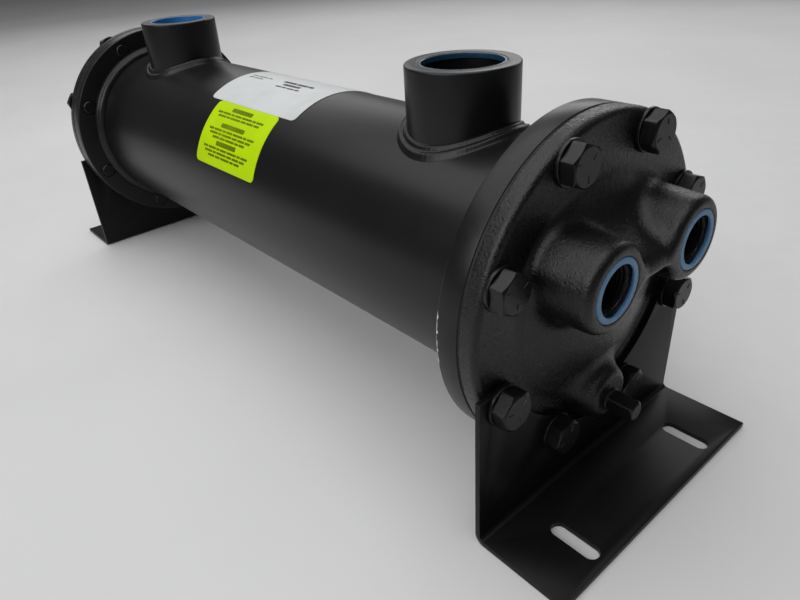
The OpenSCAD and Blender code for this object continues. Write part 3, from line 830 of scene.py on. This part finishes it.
def hub_weld(end, label):
    """Fillet weld behind a hub flange: two passes laid side by side, with the ripples that each leaves."""
    around = np.linspace(0, 2 * math.pi, 720, endpoint=False)
    across = np.linspace(0, 1, 15)
    grid = np.empty((len(across) + 2, len(around), 3))
    for row, t in enumerate(across):
        bulge = 1.15 * math.sin(math.pi * t) + 0.45 * abs(math.sin(2 * math.pi * t))
        ripple = 0.05 * np.sin(150 * around + 2.6 * math.sin(2 * math.pi * t))
        wave = 0.10 * np.sin(23 * around + 3 * t)
        push = (bulge + (ripple + wave) * math.sin(math.pi * t)) / math.sqrt(2)
        radius = SHELL_R + HUB_WELD_LEG * (1 - t) + push
        x = -HUB_T - HUB_WELD_LEG * t - push
        grid[row] = circle(x, radius, around)
    buried_r = SHELL_R - 1
    grid[-2] = circle(-HUB_T - HUB_WELD_LEG + 0.5, buried_r, around)
    grid[-1] = circle(-HUB_T + 1, buried_r, around)
    points, faces = skin(grid, wrap_rows=True)
    bead = Shape().add(at_end(points, end), faces)
    bead.make(f"{label}_hub_weld_bead", [WELD_PAINT], "weld_paint", [f"{label}_flange_weld"], 55.0)


hub_weld(1, "front")
hub_weld(-1, "rear")


def saddle(x_centre, radius, angle, lift):
    """Points above the shell's surface, at a radius and angles round an oil port's axis."""
    y = radius * np.sin(angle)
    return np.stack([x_centre + radius * np.cos(angle), y,
                     AXIS_Z + np.sqrt(SHELL_R ** 2 - y ** 2) + lift], -1)


def oil_port_piece(side, label):
    """Turned coupling that follows the shell at its foot, with a bored and threaded throat."""
    around = np.linspace(0, 2 * math.pi, 192, endpoint=False)
    x = side * OIL_X
    sunk = -0.6
    mouth_floor = OIL_RIM - OIL_MOUTH_DEPTH
    tapped = mouth_floor - OIL_TAPPING
    mouth_r = OIL_MOUTH_R + HOLE_PLAY
    inner_edge, outer_edge = 0.7, 1.3
    profile = [(OIL_PASSAGE_R, tapped - 0.6), (OIL_BORE_R, tapped + 0.4), (OIL_BORE_R, mouth_floor - 0.5),
               (mouth_r, mouth_floor), (mouth_r, OIL_RIM - inner_edge)]
    profile += arc((mouth_r + inner_edge, OIL_RIM - inner_edge), inner_edge, 180, 90, 4)
    profile += arc((OIL_R - outer_edge, OIL_RIM - outer_edge), outer_edge, 90, 0)
    rows = [saddle(x, OIL_PASSAGE_R, around, sunk)]
    for r, z in profile:
        rows.append(np.stack([x + r * np.cos(around), r * np.sin(around), AXIS_Z + z + 0 * around], -1))
    rows.append(saddle(x, OIL_R, around, sunk))
    points, faces = skin(np.array(rows), wrap_rows=True)
    coupling = Shape().add(points, faces)
    coupling.make(f"{label}_oil_coupling", [SHELL_PAINT], "shell_paint", [f"{label}_oil_port"], 30.0)


def oil_port_weld(side, label, width, height):
    """Weld round an oil port: a heavy lower pass and a narrower one against the coupling, both rippled."""
    around = np.linspace(0, 2 * math.pi, 640, endpoint=False)
    across = np.linspace(0, 1, 25)
    broad = width * (1 + 0.42 * (0.5 + 0.5 * np.cos(around + 0.7)) ** 2)
    wander = 1 + 0.08 * np.sin(5 * around + 1.1 * side) + 0.05 * np.sin(13 * around)
    uneven = (0.035 * np.sin(61 * around + 2.0 * np.sin(3 * around))
              + 0.03 * np.sin(97 * around + 1.7 * np.sin(7 * around)))
    rows = []
    for t in across:
        lower = 1.75 * math.exp(-((t - 0.64) / 0.19) ** 2)
        upper = 1.15 * math.exp(-((t - 0.20) / 0.13) ** 2)
        swell = (lower + upper) * wander + uneven * math.sin(math.pi * t) * 1.2
        lift = height * (1 - t) ** 1.1 + swell * (1 - 0.30 * (1 - t))
        radius = OIL_R - 0.2 + broad * t + 0.30 * swell
        rows.append(saddle(side * OIL_X, radius, around, lift - 0.35 * t))
    rows.append(saddle(side * OIL_X, OIL_R + broad - 0.6, around, -1.2))
    rows.append(saddle(side * OIL_X, OIL_R - 1.0, around, -1.2))
    points, faces = skin(np.array(rows), wrap_rows=True)
    bead = Shape().add(points, faces)
    bead.make(f"{label}_oil_port_weld_bead", [WELD_PAINT], "weld_paint", [f"{label}_oil_port_weld"], 60.0)


for side, label in ((1, "front"), (-1, "rear")):
    oil_port_piece(side, label)
    oil_port_weld(side, label, OIL_WELD_W, OIL_WELD_H)


# ---------------------------------------------------------------- brackets
def bracket(end, label):
    """Bent plate: a profile drawn out across the cooler, with the cut-out, holes and slots taken from it."""
    outer_r = BEND_R + PLATE_T
    bend = (SEAT + outer_r, outer_r - AXIS_Z)
    reach = bracket_high.x - JOINT_X
    half = (bracket_high.y - bracket_low.y) / 2
    side = [(SEAT + PLATE_T, PLATE_TOP), (SEAT, PLATE_TOP)]
    side += arc(bend, outer_r, 180, 270, 10)
    side += [(reach, -AXIS_Z), (reach, PLATE_T - AXIS_Z)]
    side += arc(bend, BEND_R, 270, 180, 10)
    grid = np.array([[(x, y, z) for x, z in side] for y in (-half, half)])
    points, faces = skin(grid, caps=True)
    plate = solid_object(f"{label}_bracket_plate", at_end(points, end), faces)
    span = (2, 30)
    blades = [(rod(CUTOUT_R, *span, 192), 0, 0), (rod(NOTCH_R, *span), 0, DRAIN_BOSS_Z)]
    blades += [(rod(BOLT_HOLE_R, *span, 48), y, z) for _, y, z in bolt_places() if z < 0]
    cutters = [raw_mesh("blade", at_end(turn_x(p, 0, y, z), end), f) for (p, f), y, z in blades]
    for slot_side in (-1, 1):
        cutters.append(slot_blade(end, slot_side))
    cut(plate, cutters)
    soften(plate, 0.35)
    plate.data.materials.append(SHEET_PAINT)
    finish_piece(plate, [f"{label}_bracket"], 35.0)


def slot_blade(end, slot_side):
    """Cutter for one foot slot, round at both ends."""
    run = (SLOT_LEN - SLOT_W) / 2
    outline = arc((SLOT_X + run, 0), SLOT_W / 2, -90, 90, 25)
    outline += arc((SLOT_X - run, 0), SLOT_W / 2, 90, 270, 25)
    levels = (-AXIS_Z - 5, -AXIS_Z + 9)
    grid = np.array([[(x, slot_side * SLOT_Y + y, z) for x, y in outline] for z in levels])
    points, faces = skin(grid, caps=True)
    return raw_mesh("slot", at_end(points, end), faces)


bracket(1, "front")
bracket(-1, "rear")


# ---------------------------------------------------------------- labels
def label_patch(shape, x0, x1, a0, a1, low, high, corner, number=0, rows=48, columns=24):
    """Round-cornered patch wrapped on the shell between two angles in degrees, from radius low to high."""
    spread = np.radians(a1 - a0) * SHELL_R
    depth = np.concatenate([np.linspace(0, corner, 9), np.linspace(corner, spread - corner, rows)[1:-1],
                            np.linspace(spread - corner, spread, 9)])
    grid = []
    for d in depth:
        inset = corner - min(d, spread - d, corner)
        half = (x1 - x0) / 2 - corner + math.sqrt(max(corner ** 2 - inset ** 2, 0.0))
        middle = (x0 + x1) / 2
        line = np.linspace(middle - half, middle + half, columns)
        angle = math.radians(a0) + d / SHELL_R
        ring = []
        for radius, xs in ((high, line), (low, line[::-1])):
            ring += [(x, radius * math.cos(angle), AXIS_Z + radius * math.sin(angle)) for x in xs]
        grid.append(ring)
    points, faces = skin(np.array(grid), caps=True)
    shape.add(points, faces, number)


def print_line(shape, x0, x1, angle, height, words):
    """Row of short bars that stands for a line of print. words holds the bars' shares of the row."""
    total = sum(words)
    gap = 0.9
    x = x0
    reach = np.degrees(height / SHELL_R) / 2
    for share in words:
        width = (x1 - x0 - gap * (len(words) - 1)) * share / total
        label_patch(shape, x, x + width, angle - reach, angle + reach, SHELL_R + LABEL_T - 0.05,
                    SHELL_R + LABEL_T + 0.04, min(height, width) * 0.3, 1, 5, 3)
        x += width + gap


data_low, data_high = box_mm("data_label")
caution_low, caution_high = box_mm("caution_label")
label_face_r = SHELL_R + LABEL_T
white = Shape()
label_patch(white, data_low.x, data_high.x, DATA_LABEL_EDGE, LABEL_SEAM, SHELL_R, label_face_r, LABEL_CORNER)
print_line(white, -6, 32, 91.5, 3.0, (5, 4, 2))
print_line(white, 0, 22, 95.4, 2.8, (1,))
print_line(white, -4, 26, 99.0, 1.7, (4, 3, 5, 3))
print_line(white, -50, -22, 92.0, 1.3, (3, 5, 2))
print_line(white, -50, -30, 95.0, 1.3, (2, 3))
white.make("data_label_film", [WHITE_FILM, INK], "label_white", ["data_label"], 40.0)

yellow = Shape()
label_patch(yellow, caution_low.x, caution_high.x, LABEL_SEAM + 0.1, CAUTION_LABEL_EDGE,
            SHELL_R, label_face_r, LABEL_CORNER)
for block in range(3):
    top = 126.6 + 11.0 * block
    heading = 15.0 + 2.5 * (block % 2)
    print_line(yellow, -2 - heading, -2 + heading * 0.9, top, 3.4, (1,))
    print_line(yellow, -34, 30, top + 3.2, 1.7, (3, 5, 2, 4, 6, 2, 4))
    print_line(yellow, -31, 27, top + 5.5, 1.7, (5, 2, 6, 3, 4, 3))
    if block:
        print_line(yellow, -25, 21, top + 7.8, 1.7, (4, 3, 5, 2, 3))
yellow.make("caution_label_film", [YELLOW_FILM, OLIVE_INK], "label_yellow", ["caution_label"], 40.0)


# ---------------------------------------------------------------- CAD nodes that stay
KEPT = {
    "front_gasket": RUBBER, "rear_gasket": RUBBER,
    "front_tube_sheet": BRASS, "rear_tube_sheet": BRASS,
    "left_pass_tubes": COPPER, "right_pass_tubes": COPPER,
    "baffles": STEEL, "tie_rods": STEEL, "baffle_spacers": STEEL, "tie_rod_nuts": STEEL,
}
for node, material in KEPT.items():
    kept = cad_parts[node]
    kept.data.materials.clear()
    kept.data.materials.append(material)


# ---------------------------------------------------------------- floor, light and camera
def pale_floor():
    """Matt pale backdrop with a faint drift in its tone."""
    n = Nodes("pale_floor")
    tone = n.mix(n.ramp(n.noise(3.0, 4.0), 0.3, 0.7), grey(0.60), grey(0.64))
    n.set(Base_Color=tone, Roughness=n.ramp(n.noise(40.0, 3.0), 0.3, 0.7, 0.5, 0.62))
    return n.material


work = bmesh.new()
bmesh.ops.create_grid(work, x_segments=4, y_segments=4, size=6.0)
floor_mesh = bpy.data.meshes.new("studio_floor")
work.to_mesh(floor_mesh)
work.free()
floor_mesh.materials.append(pale_floor())
floor = bpy.data.objects.new("studio_floor", floor_mesh)
floor.location = (0, 0, -0.0002)
bpy.context.scene.collection.objects.link(floor)


def soft_light(name, place, target, size, power):
    """Rectangular lamp that faces a target, with its size in metres and its power in watts."""
    light = bpy.data.lights.new(name, "AREA")
    light.shape = "RECTANGLE"
    light.size, light.size_y = size
    light.energy = power
    lamp = bpy.data.objects.new(name, light)
    lamp.location = place
    lamp.rotation_mode = "QUATERNION"
    lamp.rotation_quaternion = (Vector(target) - Vector(place)).to_track_quat("-Z", "Y")
    bpy.context.scene.collection.objects.link(lamp)


soft_light("overhead_softbox", (-0.2, -0.35, 1.9), (-0.1, -0.1, 0.0), (3.0, 2.4), 42)
soft_light("back_left_softbox", (-1.9, 0.9, 1.1), (0, 0, 0.1), (1.5, 0.9), 5.0)
soft_light("back_softbox", (-0.6, 1.9, 1.0), (0, 0, 0.1), (1.8, 0.7), 9.0)
soft_light("front_fill", (0.1, -1.9, 1.2), (0, 0, 0.1), (1.8, 0.9), 17.0)

world = bpy.data.worlds.new("studio_world")
world.use_nodes = True
world.node_tree.nodes["Background"].inputs["Color"].default_value = (0.90, 0.91, 0.95, 1)
world.node_tree.nodes["Background"].inputs["Strength"].default_value = 0.10
bpy.context.scene.world = world
bpy.context.scene.view_settings.view_transform = "Standard"

CAMERA_PLACE = (0.4330, -0.2658, 0.2916)
CAMERA_HEADING = math.radians(140.631)
CAMERA_TILT = math.radians(-30.525)
CAMERA_ROLL = math.radians(-3.999)
camera_data = bpy.data.cameras.new("camera")
camera_data.lens, camera_data.sensor_width = 29.48, 36.0
camera = bpy.data.objects.new("camera", camera_data)
forward = Vector((math.cos(CAMERA_TILT) * math.cos(CAMERA_HEADING),
                  math.cos(CAMERA_TILT) * math.sin(CAMERA_HEADING), math.sin(CAMERA_TILT)))
level_right = forward.cross(Vector((0, 0, 1))).normalized()
level_up = level_right.cross(forward)
right = math.cos(CAMERA_ROLL) * level_right + math.sin(CAMERA_ROLL) * level_up
up = -math.sin(CAMERA_ROLL) * level_right + math.cos(CAMERA_ROLL) * level_up
camera.matrix_world = Matrix.Translation(CAMERA_PLACE) @ Matrix((right, up, -forward)).transposed().to_4x4()
bpy.context.scene.collection.objects.link(camera)
bpy.context.scene.camera = camera
